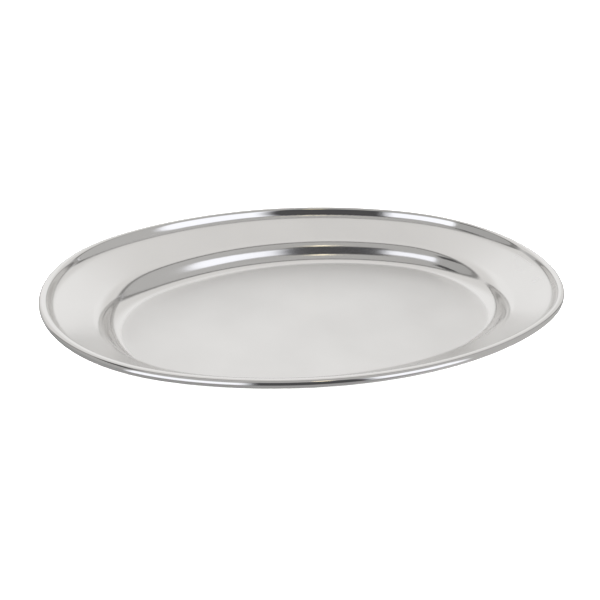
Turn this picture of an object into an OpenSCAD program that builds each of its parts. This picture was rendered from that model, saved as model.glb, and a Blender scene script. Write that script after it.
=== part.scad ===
// Oval serving tray: one pressed steel sheet with a sloping flange and an upturned, curled edge,
// and the round wire that the curl is closed over.
// Millimetres, +Z up. X is the long axis. The origin is on the underside, at the middle.

/* [Outline] */
// Overall length, outside the curled edge
length = 300; // [282:6:360]
// Overall width, outside the curled edge
width = 216; // [180:6:240]

/* [Section] */
// Thickness of the steel sheet
sheet = 0.8; // [0.6:0.1:1]
// Overall height, from the underside to the top of the curl
height = 29; // [24:0.5:35]
// Depth of the well, from the floor's face to the corner where the wall meets the flange
well_depth = 10.5; // [9.5:0.5:13.5]
// Width of the rim in plan, from the outside edge to that corner
rim_width = 29.5; // [24:0.5:36]
// Slope of the well's wall above the floor
wall_angle = 66; // [58:1:69]
// Radius of the bend between the floor and the wall, on the food side
floor_bend = 10; // [6:0.5:11.5]
// Radius of the bend between the wall and the flange, on the food side
flange_bend = 9.5; // [5:0.5:12]

/* [Curled edge] */
// Outside diameter of the curl
curl_d = 4.5; // [4:0.1:5.4]
// Height of the upturned edge, from the flange to the top of the curl
lip_height = 5.7; // [5.2:0.1:7]
// Radius of the bend between the flange and the upturned edge, on the food side
lip_bend = 5.5; // [3:0.5:6.5]
// Gap between the sheet's cut edge and the back of the upturned edge
curl_gap = 0.3; // [0.2:0.05:0.4]
// Clearance all round the wire inside the curl
wire_gap = 0.1; // [0.05:0.05:0.2]

/* [Hidden] */
$fn = 96;

// Four-centre oval. The radius that an end arc and a side arc share where they meet
// runs 8 along and 15 across for every 17 of its length.
half_length = length / 2;
half_width = width / 2;
reach = (half_length - half_width) / (8 + 15 - 17);
end_x = 8 * reach;
side_y = 15 * reach;
end_r = half_length - end_x;
side_r = end_r + 17 * reach;

// Directions that the food side faces: the upturned edge, which leans out a little, the flange,
// the wall and the floor. The flange starts at the foot of the upturned edge.
lip_face = [24, 7] / 25;
curl_r = curl_d / 2;
curl_centre = [curl_r, height - curl_r];
curl_end = curl_centre + curl_r * lip_face;
flange_top = height - lip_height;
flange_start = curl_end.x + (curl_end.y - flange_top) * lip_face.y / lip_face.x;
flange_slope = atan2(flange_top - sheet - well_depth, rim_width - flange_start);
flange_face = [sin(flange_slope), cos(flange_slope)];
wall_face = [sin(wall_angle), cos(wall_angle)];
floor_face = [0, 1];

// Bends: the corner before rounding on the food side, as [distance in from the edge, height],
// the faces that meet there, and the food side's radius, negative where it goes round the outside
BENDS = [
    [[flange_start, flange_top], lip_face, flange_face, lip_bend],
    [[rim_width, sheet + well_depth], flange_face, wall_face, -flange_bend],
    [[rim_width + well_depth / tan(wall_angle), sheet], wall_face, floor_face, floor_bend]
];

// Curl, which stops where its outer corner is curl_gap short of the upturned edge
curl_stop = 360 + atan2(lip_face.y, lip_face.x) - acos((curl_r - sheet - curl_gap) / curl_r);

// Each rounding crosses the faces beside it by this much, so that they meet on a clean line
crossing = 0.0001;
// Its outline runs past those faces by this share of its radius, which is less than the sheet
overrun = 0.04;

// Step from a bend's corner that moves both of its faces out by one
function mitre(bend) = (bend[1] + bend[2]) / (1 + bend[1] * bend[2]);

// The part of a bend's corner that lies outside the arc of radius r about the bend's centre
module corner(bend, r) {
    translate(bend[0] + bend[3] * mitre(bend))
        difference() {
            polygon(-(1 + overrun) * r * [[0, 0], bend[1], mitre(bend), bend[2]]);
            circle(abs(r) + crossing);
        }
}

// The sheet from the upturned edge to the floor. Inner corners are filled before outer corners
// are cut, so that the sheet keeps its thickness round every bend.
module sheet_section() {
    difference() {
        union() {
            polygon([
                curl_end,
                for (bend = BENDS) bend[0],
                [end_r, sheet],
                [end_r, 0],
                for (i = [2:-1:0]) BENDS[i][0] - sheet * mitre(BENDS[i]),
                curl_end - sheet * lip_face
            ]);
            for (bend = BENDS) corner(bend, bend[3] + (bend[3] > 0 ? 0 : sheet));
        }
        for (bend = BENDS) corner(bend, bend[3] + (bend[3] > 0 ? sheet : 0));
    }
}

module curl_section() {
    translate(curl_centre)
        difference() {
            circle(curl_r);
            circle(curl_r - sheet);
            polygon(curl_d * [[0, 0], [cos(curl_stop), sin(curl_stop)], [2, -2], 2 * lip_face]);
        }
}

// Prism between the lines that run 8 along and 15 across, to one side and the other
module wedge(corners) {
    translate([0, 0, -height]) linear_extrude(3 * height) polygon(half_length * corners);
}

// Carries a section, with x measured in from the edge, round the four arcs of the oval
module round_the_oval() {
    for (turn = [0, 180])
        rotate(turn) {
            translate([end_x, 0, 0])
                intersection() {
                    rotate_extrude(angle = 180, start = -90)
                        translate([end_r, 0]) mirror([1, 0]) children();
                    wedge([[0, 0], [8, -15], [8, 15]]);
                }
            translate([0, -side_y, 0])
                intersection() {
                    rotate_extrude(angle = 90, start = 45)
                        translate([side_r, 0]) mirror([1, 0]) children();
                    wedge([[0, 0], [8, 15], [-8, 15]]);
                }
        }
}

// Middle of the floor, between the inner edges of the two side arcs
module floor_middle() {
    linear_extrude(sheet)
        intersection() {
            translate([0, side_y]) circle(side_r - end_r);
            translate([0, -side_y]) circle(side_r - end_r);
        }
}

module pressed_dish() {
    color("silver") {
        round_the_oval() {
            curl_section();
            sheet_section();
        }
        floor_middle();
    }
}

module rim_wire() {
    color("gray")
        round_the_oval()
            translate(curl_centre) circle(curl_r - sheet - wire_gap);
}

pressed_dish();
rim_wire();
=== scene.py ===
# %% [markdown]
# # An oval serving tray in pressed stainless steel
#
# The real tray is one thin sheet of steel. A press gives it a flat floor, a short wall with easy
# bends, a sloping flange and an upturned edge, and the edge is then curled over a round wire. Nearly
# all that the eye sees on it is reflection, so this lesson spends its effort on two things: a
# surface whose curves run on smoothly, and a studio that is worth reflecting.

import math

import bpy
import numpy as np
from mathutils import Matrix, Vector


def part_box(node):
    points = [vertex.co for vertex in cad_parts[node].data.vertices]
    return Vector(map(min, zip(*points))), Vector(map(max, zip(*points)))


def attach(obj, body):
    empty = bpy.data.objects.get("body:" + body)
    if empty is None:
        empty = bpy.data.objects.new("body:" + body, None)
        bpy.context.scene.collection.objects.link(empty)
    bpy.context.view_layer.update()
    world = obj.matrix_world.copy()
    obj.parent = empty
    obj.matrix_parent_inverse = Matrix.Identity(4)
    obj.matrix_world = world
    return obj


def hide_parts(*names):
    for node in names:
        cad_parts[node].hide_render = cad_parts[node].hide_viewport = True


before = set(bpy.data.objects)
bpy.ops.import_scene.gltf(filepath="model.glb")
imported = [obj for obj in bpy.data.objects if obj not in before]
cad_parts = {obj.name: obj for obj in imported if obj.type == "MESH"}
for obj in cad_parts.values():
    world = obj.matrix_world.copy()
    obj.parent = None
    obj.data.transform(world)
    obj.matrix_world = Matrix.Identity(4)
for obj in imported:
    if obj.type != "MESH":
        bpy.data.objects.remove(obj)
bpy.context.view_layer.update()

# %% [markdown]
# ## Sizes
#
# Everything is worked out in millimetres and turned to metres at the end. The tray's outside
# length, width and height come from the frame. The rest are the sizes of the sheet's section, from
# the curled edge down to the floor. The upturned edge leans out, and its lean, like the angle of
# the oval's joins further on, comes from a right-angled triangle with whole-number sides.

# %% The tray's sizes
MM = 0.001
low, high = (np.array(corner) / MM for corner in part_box("pressed_dish"))
HALF_LENGTH = (high[0] - low[0]) / 2
HALF_WIDTH = (high[1] - low[1]) / 2
HEIGHT = high[2]
SHEET = 0.8
CURL_R = 2.25
CURL_TURN = 300.7
LIP_HEIGHT = 5.7
LIP_BEND = 5.5
LIP_LEAN = math.degrees(math.atan2(7, 24))
RIM_WIDTH = 29.5
WELL_DEPTH = 10.5
FLANGE_BEND = 9.5
WALL_ANGLE = 66.0
FLOOR_BEND = 10.0
FLAT_SHOWN = 6.0
print(f"outside {2 * HALF_LENGTH:.1f} x {2 * HALF_WIDTH:.1f} x {HEIGHT:.1f} mm")

# %% [markdown]
# ## The section, as a drive along the sheet
#
# A polished surface shows every jump in its curvature as a kink in the reflections, and a straight
# that runs into a true arc has such a jump. Pressed sheet doesn't: it eases into each bend. So the
# section is drawn as a drive along its upper face. We list how sharply the road turns at each
# point, blur that list a little, and then add up the steps. The sheet's other face is the same
# road moved over by the thickness.

# %% Drive along the sheet's upper face
STEP = 0.01
EASE = 0.6
EASE_REACH = 3 * EASE


def drive(flange_length, wall_length):
    """Points and headings along the upper face, from the cut edge inside the curl to the floor."""
    lean = math.radians(LIP_LEAN)
    neck_fall = LIP_HEIGHT - CURL_R + CURL_R * math.sin(lean)
    flange_start = CURL_R + CURL_R * math.cos(lean) + neck_fall * math.tan(lean)
    slope = math.degrees(math.atan2(HEIGHT - LIP_HEIGHT - SHEET - WELL_DEPTH, RIM_WIDTH - flange_start))
    lip_turn = 90 - LIP_LEAN - slope
    neck = neck_fall / math.cos(lean) - LIP_BEND * math.tan(math.radians(lip_turn) / 2)
    legs = [
        (math.radians(CURL_TURN) * CURL_R, -CURL_TURN),
        (neck, 0),
        (math.radians(lip_turn) * LIP_BEND, lip_turn),
        (flange_length, 0),
        (math.radians(WALL_ANGLE - slope) * FLANGE_BEND, slope - WALL_ANGLE),
        (wall_length, 0),
        (math.radians(WALL_ANGLE) * FLOOR_BEND, WALL_ANGLE),
        (FLAT_SHOWN, 0),
    ]
    edges = np.cumsum([0] + [length for length, turn in legs])
    s = np.arange(STEP / 2, edges[-1], STEP)
    leg = np.clip(np.searchsorted(edges, s) - 1, 0, len(legs) - 1)
    bend = np.array([math.radians(turn) / length for length, turn in legs])[leg]
    reach = np.arange(-EASE_REACH, EASE_REACH + STEP / 2, STEP)
    weight = np.exp(-0.5 * (reach / EASE) ** 2)
    eased = np.convolve(np.pad(bend, len(reach) // 2, mode="edge"), weight / weight.sum(), mode="valid")
    eased = eased[: len(s)]
    start = math.radians(CURL_TURN + LIP_LEAN - 90)
    heading = start + np.cumsum(eased) * STEP
    heading -= heading[-1]
    steps = np.c_[np.cos(heading), np.sin(heading)] * STEP
    points = np.cumsum(steps, axis=0)
    return s, points, heading


def landed(flange_length, wall_length):
    """How far in from the edge the floor begins, and how far below the curl's top it lies."""
    s, points, heading = drive(flange_length, wall_length)
    left, top = points[:, 0].min(), points[:, 1].max()
    return points[-1] - (left, top)


TRIES = 4
flange_length, wall_length = 18.0, 2.0
target_fall = HEIGHT - SHEET
floor_start = RIM_WIDTH + WELL_DEPTH / math.tan(math.radians(WALL_ANGLE))
target_reach = floor_start + FLOOR_BEND * math.tan(math.radians(WALL_ANGLE) / 2) + FLAT_SHOWN
for attempt in range(TRIES):
    here = landed(flange_length, wall_length)
    more_flange = landed(flange_length + 1, wall_length) - here
    more_wall = landed(flange_length, wall_length + 1) - here
    miss = np.array([target_reach, -target_fall]) - here
    change = np.linalg.solve(np.c_[more_flange, more_wall], miss)
    flange_length += change[0]
    wall_length += change[1]
s, upper, heading = drive(flange_length, wall_length)
upper = upper - (upper[:, 0].min(), upper[:, 1].max() - HEIGHT)
print(f"straight flange {flange_length:.2f} mm, straight wall {wall_length:.2f} mm")
print("ends at", upper[-1].round(3), "mm in and up")

# %% [markdown]
# Evenly spaced points would waste most of them on the straights. We keep a point only after the
# road has turned a few degrees or run a few millimetres.

# %% Thin the points out
TURN_PER_POINT = math.radians(7)
RUN_PER_POINT = 1.6
effort = np.r_[0, np.cumsum(np.abs(np.diff(heading)) / TURN_PER_POINT + np.diff(s) / RUN_PER_POINT)]
kept = np.searchsorted(effort, np.linspace(0, effort[-1], int(effort[-1]) + 1))
upper, heading = upper[kept], heading[kept]
left_of_road = np.c_[-np.sin(heading), np.cos(heading)]
under = upper - SHEET * left_of_road
print(len(upper), "points on each face of the section")

# %% [markdown]
# ## The oval
#
# The outline is drawn by its normal. At each compass angle the edge has a radius of curvature: a
# small one at the ends, a large one at the sides, with an easy change between them. Adding the
# small steps up gives the curve. The beauty of this way is that a line 5 mm inside the edge uses
# the same angles with every radius 5 mm less, so the section stays true all the way round.

# %% Points round the oval
STATIONS = 384
EXTRA_AT_THE_ENDS = 0.9
TURN_OVER = math.degrees(math.atan2(15, 8))
BLEND = 12.0

fine = np.radians(np.linspace(0, 90, 4501))
share = np.clip((np.degrees(fine) - TURN_OVER) / (2 * BLEND) + 0.5, 0, 1)
share = share * share * (3 - 2 * share)


def quarter(radius):
    """Points from the end of the long axis to the end of the short one, for radii by angle."""
    mean = (radius[1:] + radius[:-1]) / 2
    middle = (fine[1:] + fine[:-1]) / 2
    step = mean * np.diff(fine)
    x = np.r_[0, np.cumsum(-np.sin(middle) * step)]
    y = np.r_[0, np.cumsum(np.cos(middle) * step)]
    return x - x[-1], y


end_part = [line[pick] for line, pick in zip(quarter(1 - share), (0, -1))]
side_part = [line[pick] for line, pick in zip(quarter(share), (0, -1))]
END_R, SIDE_R = np.linalg.solve(np.c_[end_part, side_part], [HALF_LENGTH, HALF_WIDTH])
radius = END_R + (SIDE_R - END_R) * share
qx, qy = quarter(radius)
print(f"radius {END_R:.1f} mm at the ends and {SIDE_R:.1f} mm at the sides")

run = np.r_[0, np.cumsum(np.hypot(np.diff(qx), np.diff(qy)))]
pace = run + EXTRA_AT_THE_ENDS * run[-1] * fine / fine[-1]
at = np.interp(np.linspace(0, pace[-1], STATIONS // 4 + 1), pace, fine)
ax, ay = np.interp(at, fine, qx), np.interp(at, fine, qy)
angle = np.r_[at, math.pi - at[-2::-1], math.pi + at[1:], 2 * math.pi - at[-2:0:-1]]
edge_x = np.r_[ax, -ax[-2::-1], -ax[1:], ax[-2:0:-1]]
edge_y = np.r_[ay, ay[-2::-1], -ay[1:], -ay[-2:0:-1]]
outward = np.c_[np.cos(angle), np.sin(angle)]
edge = np.c_[edge_x, edge_y]
print(len(edge), "stations round the edge")

# %% [markdown]
# ## The sheet as one mesh
#
# The section is carried round the stations, which gives rings of points. The floor's rings shrink
# towards the middle. A press leaves the floor very slightly crowned rather than dead flat, and that
# fraction of a millimetre is what makes its reflections soft and slow.

# %% Build the sheet
CROWN = 0.25
FLOOR_RINGS = 14


def ring(inset, height):
    """One loop of points at a distance in from the edge."""
    flat = edge - inset * outward
    return np.c_[flat, np.full(len(flat), height)]


def floor_rings(height):
    """Loops that shrink from the end of the section to just short of the middle."""
    outer = edge - upper[-1, 0] * outward
    loops = []
    for k in range(1, FLOOR_RINGS):
        size = 1 - k / FLOOR_RINGS
        rise = CROWN * (1 - size * size) ** 2
        loops.append(np.c_[outer * size, np.full(len(outer), height + rise)])
    return loops


top_rings = [ring(*point) for point in upper]
bottom_rings = [ring(*point) for point in under]
loops = top_rings + floor_rings(SHEET)
loops_under = bottom_rings + floor_rings(0)
rings = loops[::-1] + loops_under
count = len(edge)
verts = np.concatenate(rings)
faces = []
for r in range(len(rings) - 1):
    a, b = r * count, (r + 1) * count
    for k in range(count):
        n = (k + 1) % count
        faces.append((a + k, b + k, b + n, a + n))
middle_top, middle_under = len(verts), len(verts) + 1
verts = np.vstack([verts, [0, 0, SHEET + CROWN], [0, 0, CROWN]])
last = (len(rings) - 1) * count
for k in range(count):
    n = (k + 1) % count
    faces.append((middle_top, k, n))
    faces.append((middle_under, last + n, last + k))

mesh = bpy.data.meshes.new("tray_sheet")
mesh.from_pydata((verts * MM).tolist(), [], faces)
mesh.validate()
mesh.shade_smooth()
tray = bpy.data.objects.new("tray_sheet", mesh)
bpy.context.scene.collection.objects.link(tray)
cut_ring = len(loops) - 1
cut_faces = range(cut_ring * count, (cut_ring + 1) * count)
print(len(mesh.polygons), "faces in the sheet")

# %% [markdown]
# The mops reach some places better than others. The curl is buffed to a mirror, the bends and the
# wall are bright, the flange is softer and the floor keeps a satin look. Each ring of points carries
# a number for this, which the material will read.

# %% How well each ring is polished
MIRROR, BRIGHT, SATIN, FLOOR_SATIN = 1.0, 0.76, 0.5, 0.15
BEND_REACH = 3.5
BLUR = 0.5
CURL_D = 2 * CURL_R
fold_at = RIM_WIDTH - BEND_REACH
bend_end = floor_start + BEND_REACH
PLACES = [0, CURL_D + 0.3, CURL_D + 2.0, fold_at - 0.8, fold_at, bend_end, bend_end + 1.5]
LEVELS = [MIRROR, BRIGHT, SATIN, SATIN, BRIGHT, BRIGHT, FLOOR_SATIN]


def polish(inset, height):
    """How far a point of the section is polished, from 0, dull, to 1, mirror."""
    if height > HEIGHT - CURL_D - BLUR and inset < CURL_D + 2 * BLUR:
        return MIRROR
    return float(np.interp(inset, PLACES, LEVELS))


ring_polish = [polish(*point) for point in upper] + [FLOOR_SATIN] * (FLOOR_RINGS - 1)
ring_polish = ring_polish[::-1] + ring_polish
per_point = np.repeat(ring_polish, count).tolist() + [FLOOR_SATIN, FLOOR_SATIN]
store = mesh.attributes.new("polish", "FLOAT", "POINT")
store.data.foreach_set("value", per_point)
print("polish from", min(per_point), "to", max(per_point))

# %% [markdown]
# The two edges of the cut end, inside the curl, are crisp because a shear made them. Marking them
# sharp stops the shading from rolling over them.

# %% Keep the cut end crisp
first_loop = set(range(cut_ring * count, (cut_ring + 1) * count))
second_loop = set(range((cut_ring + 1) * count, (cut_ring + 2) * count))
for mesh_edge in mesh.edges:
    pair = set(mesh_edge.vertices)
    if pair <= first_loop or pair <= second_loop:
        mesh_edge.use_edge_sharp = True
print(sum(e.use_edge_sharp for e in mesh.edges), "sharp edges round the cut end")

# %% [markdown]
# ## Colour and node helpers
#
# Colours are written as they look on a screen, and one function turns them to the linear values
# that the shader works in. Another function adds a node, sets it and links it, so that a material
# reads as a list of what it is made from.

# %% Helpers for materials


def linear(hex_colour):
    """Screen colour such as '#cfcdc9' to linear red, green, blue and alpha."""
    channels = [int(hex_colour[i : i + 2], 16) / 255 for i in (1, 3, 5)]
    return [c / 12.92 if c <= 0.04045 else ((c + 0.055) / 1.055) ** 2.4 for c in channels] + [1]


def add(tree, kind, settings=None, values=None, links=None):
    """Adds a node, sets its properties and inputs, and links other nodes' outputs into it."""
    made = tree.nodes.new(kind)
    for key, value in (settings or {}).items():
        setattr(made, key, value)
    for key, value in (values or {}).items():
        made.inputs[key].default_value = value
    for key, (source, output) in (links or {}).items():
        tree.links.new(source.outputs[output], made.inputs[key])
    return made


def new_material(name):
    """An empty material with an output and a Principled shader joined up."""
    material = bpy.data.materials.new(name)
    material.use_nodes = True
    tree = material.node_tree
    tree.nodes.clear()
    shader = add(tree, "ShaderNodeBsdfPrincipled")
    add(tree, "ShaderNodeOutputMaterial", links={"Surface": (shader, "BSDF")})
    return material, tree, shader


# %% [markdown]
# ## Stainless steel sheet, polished after pressing
#
# Stainless steel with chromium and nickel is a bright, nearly neutral metal. The polishing mops
# leave it glossy but not a perfect mirror: the gloss comes and goes in soft patches a few
# centimetres across, and fine rub marks along the tray's length blur each reflection. The patches
# go to the roughness and the rub marks go to the bump.

# %% Polished stainless steel
POLISH_PATCH_MM = 45
DULL, MIRROR_GLOSS = 0.45, 0.05
RUB_LENGTH_MM = 40
RUB_WIDTH_MM = 1.5

steel, tree, shader = new_material("polished_stainless_sheet")
shader.inputs["Metallic"].default_value = 1.0
place = add(tree, "ShaderNodeTexCoord")
patches = add(
    tree,
    "ShaderNodeTexNoise",
    values={"Scale": 1 / (POLISH_PATCH_MM * MM), "Detail": 3.0, "Roughness": 0.5},
    links={"Vector": (place, "Object")},
)
tint = add(
    tree,
    "ShaderNodeMix",
    settings={"data_type": "RGBA"},
    links={"Factor": (patches, "Fac")},
)
tint.inputs[6].default_value = linear("#e6e5e4")
tint.inputs[7].default_value = linear("#e0dfde")
tree.links.new(tint.outputs[2], shader.inputs["Base Color"])
buffed = add(tree, "ShaderNodeAttribute", settings={"attribute_name": "polish"})
base_gloss = add(
    tree,
    "ShaderNodeMapRange",
    values={"From Min": 0.0, "From Max": 1.0, "To Min": DULL, "To Max": MIRROR_GLOSS},
    links={"Value": (buffed, "Fac")},
)
patchy = add(
    tree,
    "ShaderNodeMapRange",
    values={"From Min": 0.3, "From Max": 0.7, "To Min": 0.9, "To Max": 1.1},
    links={"Value": (patches, "Fac")},
)
gloss = add(
    tree,
    "ShaderNodeMath",
    settings={"operation": "MULTIPLY"},
    links={0: (base_gloss, "Result"), 1: (patchy, "Result")},
)
tree.links.new(gloss.outputs["Value"], shader.inputs["Roughness"])
along = 1 / (RUB_LENGTH_MM * MM)
across = 1 / (RUB_WIDTH_MM * MM)
stretch = add(
    tree,
    "ShaderNodeMapping",
    values={"Scale": (along, across, across)},
    links={"Vector": (place, "Object")},
)
rubs = add(
    tree,
    "ShaderNodeTexNoise",
    values={"Scale": 1.0, "Detail": 1.0},
    links={"Vector": (stretch, "Vector")},
)
rub_bump = add(
    tree,
    "ShaderNodeBump",
    values={"Strength": 0.12, "Distance": 0.0001},
    links={"Height": (rubs, "Fac")},
)
tree.links.new(rub_bump.outputs["Normal"], shader.inputs["Normal"])
mesh.materials.append(steel)
print(f"gloss patches {POLISH_PATCH_MM} mm, rub marks {RUB_LENGTH_MM} by {RUB_WIDTH_MM} mm")

# %% [markdown]
# ## Sheared edge and drawn wire
#
# The sheet's cut end is a torn, greyer metal, because nobody polishes the inside of a curl. The wire
# that the curl holds is drawn steel, mottled by its die.

# %% Sheared steel
SHEAR_GRAIN_MM = 0.6
sheared, tree, shader = new_material("sheared_stainless_edge")
shader.inputs["Metallic"].default_value = 1.0
place = add(tree, "ShaderNodeTexCoord")
grain = add(
    tree,
    "ShaderNodeTexNoise",
    values={"Scale": 1 / (SHEAR_GRAIN_MM * MM), "Detail": 4.0},
    links={"Vector": (place, "Object")},
)
torn = add(tree, "ShaderNodeValToRGB", links={"Fac": (grain, "Fac")})
torn.color_ramp.elements[0].color = linear("#8e8b86")
torn.color_ramp.elements[1].color = linear("#b9b6b1")
tree.links.new(torn.outputs["Color"], shader.inputs["Base Color"])
rough = add(
    tree,
    "ShaderNodeMapRange",
    values={"From Min": 0.3, "From Max": 0.7, "To Min": 0.35, "To Max": 0.55},
    links={"Value": (grain, "Fac")},
)
tree.links.new(rough.outputs["Result"], shader.inputs["Roughness"])
mesh.materials.append(sheared)
for i in cut_faces:
    mesh.polygons[i].material_index = 1

# %% Drawn steel wire
DIE_MARK_MM = 0.3
wire_steel, tree, shader = new_material("drawn_steel_wire")
shader.inputs["Metallic"].default_value = 1.0
place = add(tree, "ShaderNodeTexCoord")
die_marks = add(
    tree,
    "ShaderNodeTexNoise",
    values={"Scale": 1 / (DIE_MARK_MM * MM), "Detail": 3.0},
    links={"Vector": (place, "Object")},
)
drawn = add(tree, "ShaderNodeValToRGB", links={"Fac": (die_marks, "Fac")})
drawn.color_ramp.elements[0].color = linear("#9c9a96")
drawn.color_ramp.elements[1].color = linear("#bdbbb7")
tree.links.new(drawn.outputs["Color"], shader.inputs["Base Color"])
dull = add(
    tree,
    "ShaderNodeMapRange",
    values={"From Min": 0.3, "From Max": 0.7, "To Min": 0.3, "To Max": 0.45},
    links={"Value": (die_marks, "Fac")},
)
tree.links.new(dull.outputs["Result"], shader.inputs["Roughness"])
wire = bpy.data.objects["rim_wire"]
wire.data.materials.clear()
wire.data.materials.append(wire_steel)
print("materials:", [m.name for m in mesh.materials], wire_steel.name)

# %% [markdown]
# ## Who stands for what
#
# The fine sheet takes the place of the measured one. The wire keeps its measured shape.

# %% Bodies
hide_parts("pressed_dish")
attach(tray, "root")

# %% [markdown]
# ## Table top
#
# A plain pale surface, close to white. It is left out of the steel's reflections, where the room's
# dim lower half takes its place: a white table would wash out the underside of the rim.

# %% The table
FLOOR_HALF = 20.0
MOTTLE_MM = 25
floor_mesh = bpy.data.meshes.new("table_top")
corners = [(FLOOR_HALF * x, FLOOR_HALF * y, 0) for x, y in ((-1, -1), (1, -1), (1, 1), (-1, 1))]
floor_mesh.from_pydata(corners, [], [(0, 1, 2, 3)])
table = bpy.data.objects.new("table_top", floor_mesh)
bpy.context.scene.collection.objects.link(table)
table.visible_glossy = False
paint, tree, shader = new_material("matt_white_laminate")
place = add(tree, "ShaderNodeTexCoord")
mottle = add(
    tree,
    "ShaderNodeTexNoise",
    values={"Scale": 1 / (MOTTLE_MM * MM), "Detail": 2.0},
    links={"Vector": (place, "Object")},
)
pale = add(tree, "ShaderNodeValToRGB", links={"Fac": (mottle, "Fac")})
pale.color_ramp.elements[0].color = linear("#f6f6f6")
pale.color_ramp.elements[1].color = linear("#f9f9f9")
tree.links.new(pale.outputs["Color"], shader.inputs["Base Color"])
shader.inputs["Roughness"].default_value = 0.8
shader.inputs["Specular IOR Level"].default_value = 0.0
floor_mesh.materials.append(paint)

# %% [markdown]
# ## The studio
#
# A mirror is lit by what surrounds it, so the room is drawn as directions seen from the tray. Behind
# and over the tray curves a big white board with a darker edge, which gives the flange and floor
# their even tone. The rest of the room is a warm mid grey, dim below. In front are a dark gap, where
# someone stands to look, a soft box on each side of it and a small warm lamp above. These draw the
# black and white lines along the curl and the wall.

# %% Directions in the room
VIEW_AZIMUTH = math.radians(-22.3)
world = bpy.data.worlds.new("studio_room")
bpy.context.scene.world = world
world.use_nodes = True
tree = world.node_tree
tree.nodes.clear()


def maths(operation, first, second=None):
    """A Math node. Each operand is a number or a (node, output) pair."""
    node = add(tree, "ShaderNodeMath", settings={"operation": operation})
    for slot, operand in enumerate((first, second)):
        if isinstance(operand, tuple):
            tree.links.new(operand[0].outputs[operand[1]], node.inputs[slot])
        elif operand is not None:
            node.inputs[slot].default_value = operand
    return (node, "Value")


look = add(tree, "ShaderNodeTexCoord")
axes = add(tree, "ShaderNodeSeparateXYZ", links={"Vector": (look, "Generated")})
azimuth = maths("ARCTAN2", (axes, "X"), maths("MULTIPLY", (axes, "Y"), -1.0))
height = maths("ARCSINE", (axes, "Z"))
azimuth = maths("MULTIPLY", azimuth, 180 / math.pi)
height = maths("MULTIPLY", height, 180 / math.pi)


def fade(value, near, far):
    """1 up to near, easing to 0 at far."""
    node = add(
        tree,
        "ShaderNodeMapRange",
        settings={"interpolation_type": "SMOOTHSTEP"},
        values={"From Min": near, "From Max": far, "To Min": 1.0, "To Max": 0.0},
        links={"Value": value},
    )
    return (node, "Result")


def off_centre(value, centre):
    """How far a direction lies to either side of a centre."""
    return maths("ABSOLUTE", maths("SUBTRACT", value, centre))


def blend(mask, below, colour):
    """Lays a colour over what is below it where the mask is 1."""
    node = add(tree, "ShaderNodeMix", settings={"data_type": "RGBA"})
    tree.links.new(mask[0].outputs[mask[1]], node.inputs[0])
    tree.links.new(below, node.inputs[6])
    node.inputs[7].default_value = colour
    return node.outputs[2]


# %% What stands in the room
ROOM = [0.46, 0.457, 0.45, 1]
BOARD = [0.83, 0.82, 0.805, 1]
BOARD_MIDDLE = [1.01, 1.008, 1.0, 1]
BELOW_BOARD = [0.55, 0.55, 0.545, 1]
BOARD_EDGE = [0.26, 0.257, 0.252, 1]
BOARD_COMPASS, BOARD_HEIGHT = 170, 26.4
# Degrees from the board's middle, or above the table, between which each tone fades out
EDGE_FADE, BOARD_FADE, MIDDLE_FADE = (67.5, 70.0), (58.0, 64.0), (18.0, 44.0)
BELOW_REACH, BELOW_TOP = (64.0, 70.0), (3.0, 9.0)
# Patches of the room: compass direction and height of the middle, half width, half height, softness
# of the border, all in degrees, and colour
PATCHES = [
    ("upper wall", 0, 62, 180, 18, 12, [0.51, 0.505, 0.495, 1]),
    ("dim lower room", 0, -60, 180, 55, 8, [0.38, 0.38, 0.376, 1]),
    ("left wall", 75, 0, 25, 60, 20, [0.55, 0.545, 0.537, 1]),
    ("right dark fitting", -100, 46, 22, 5, 5, [0.08, 0.08, 0.08, 1]),
    ("left soft box", -43, 10, 22, 20, 6, [1.25, 1.27, 1.34, 1]),
    ("right soft box", 31, 10, 15, 20, 6, [1.25, 1.27, 1.34, 1]),
    ("dark gap", -2, 15, 15, 27, 8, [0.09, 0.09, 0.093, 1]),
    ("warm lamp", 8, 51, 3, 3, 1.5, [2.0, 1.8, 1.3, 1]),
]
start = add(tree, "ShaderNodeRGB")
start.outputs[0].default_value = ROOM
room = start.outputs[0]
for title, compass, high, half_wide, half_high, soft, colour in PATCHES:
    across = fade(off_centre(azimuth, compass), half_wide, half_wide + soft)
    upward = fade(off_centre(height, high), half_high, half_high + soft)
    room = blend(maths("MULTIPLY", across, upward), room, colour)
board_azimuth, board_height = math.radians(BOARD_COMPASS), math.radians(BOARD_HEIGHT)
board_middle = (
    math.sin(board_azimuth) * math.cos(board_height),
    -math.cos(board_azimuth) * math.cos(board_height),
    math.sin(board_height),
)
toward = add(
    tree,
    "ShaderNodeVectorMath",
    settings={"operation": "DOT_PRODUCT"},
    links={0: (look, "Generated")},
)
toward.inputs[1].default_value = board_middle
away = maths("MULTIPLY", maths("ARCCOSINE", (toward, "Value")), 180 / math.pi)
room = blend(fade(away, *EDGE_FADE), room, BOARD_EDGE)
room = blend(fade(away, *BOARD_FADE), room, BOARD)
room = blend(fade(away, *MIDDLE_FADE), room, BOARD_MIDDLE)
under_board = maths("MULTIPLY", fade(away, *BELOW_REACH), fade(height, *BELOW_TOP))
room = blend(under_board, room, BELOW_BOARD)
print(len(PATCHES), "patches and a board in the room")

# %% [markdown]
# The eye never looks at the room itself, only at its reflections, so what the camera sees past the
# table's edge is left plain and pale.

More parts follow.
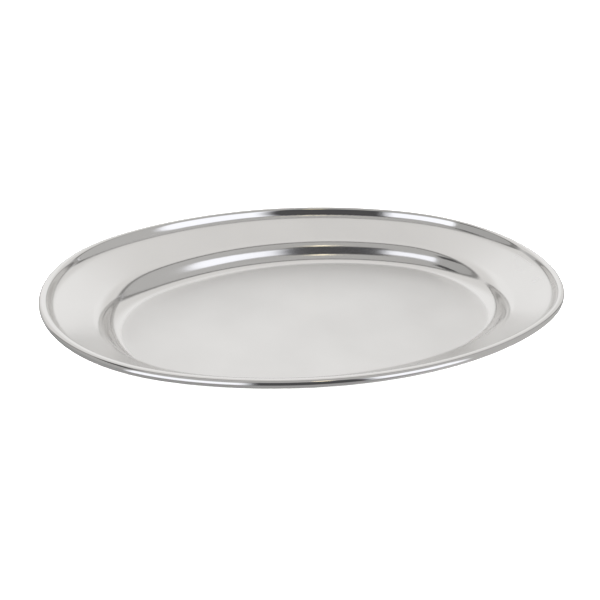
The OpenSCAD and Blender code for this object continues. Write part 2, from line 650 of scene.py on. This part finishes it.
# %% Background
ray = add(tree, "ShaderNodeLightPath")
plain = add(tree, "ShaderNodeMix", settings={"data_type": "RGBA"}, links={0: (ray, "Is Camera Ray")})
tree.links.new(room, plain.inputs[6])
plain.inputs[7].default_value = [1, 1, 1, 1]
backdrop = add(tree, "ShaderNodeBackground")
tree.links.new(plain.outputs[2], backdrop.inputs["Color"])
add(tree, "ShaderNodeOutputWorld", links={"Surface": (backdrop, "Background")})

# %% [markdown]
# ## Light on the table
#
# Two broad suns light the table, one from overhead and one from the front, so that only a trace of
# shadow is left beside the tray. Neither shows in the steel.

# %% Broad suns
# Name, strength, width in degrees, and the tilt of the light from overhead, in degrees
SUNS = [("table_fill", 12, 120, 0), ("front_fill", 14, 70, 62)]
for title, strength, width, tilt in SUNS:
    sun_data = bpy.data.lights.new(title, "SUN")
    sun_data.energy = strength
    sun_data.angle = math.radians(width)
    sun = bpy.data.objects.new(title, sun_data)
    bpy.context.scene.collection.objects.link(sun)
    sun.rotation_euler = (math.radians(tilt), 0, VIEW_AZIMUTH if tilt else 0)
    sun.visible_glossy = False
    print(f"{title}: strength {strength}, {width} degrees wide, {tilt} degrees from overhead")

# %% [markdown]
# ## The camera
#
# It stands close, under half a metre away, and looks down at 28.75 degrees from the front left. A
# small roll and a small shift set the framing.

# %% Camera
VIEW_HEIGHT = math.radians(28.75)
DISTANCE = 0.3875
ROLL = math.radians(3.78)
SENSOR = 36
LENS = 38.8275
camera_data = bpy.data.cameras.new("camera")
camera_data.sensor_width = SENSOR
camera_data.lens = LENS
camera_data.shift_x = -0.0244
camera_data.shift_y = 0.0241
camera_data.clip_start = 0.01
camera = bpy.data.objects.new("camera", camera_data)
bpy.context.scene.collection.objects.link(camera)
eye = DISTANCE * Vector(
    (
        math.sin(VIEW_AZIMUTH) * math.cos(VIEW_HEIGHT),
        -math.cos(VIEW_AZIMUTH) * math.cos(VIEW_HEIGHT),
        math.sin(VIEW_HEIGHT),
    )
)
turn = (-eye).to_track_quat("-Z", "Y").to_matrix() @ Matrix.Rotation(ROLL, 3, "Z")
camera.matrix_world = Matrix.Translation(eye) @ turn.to_4x4()
bpy.context.scene.camera = camera
bpy.context.scene.view_settings.view_transform = "Standard"
print(f"camera at {tuple(round(c * 1000) for c in eye)} mm, lens {camera_data.lens:.1f} mm")
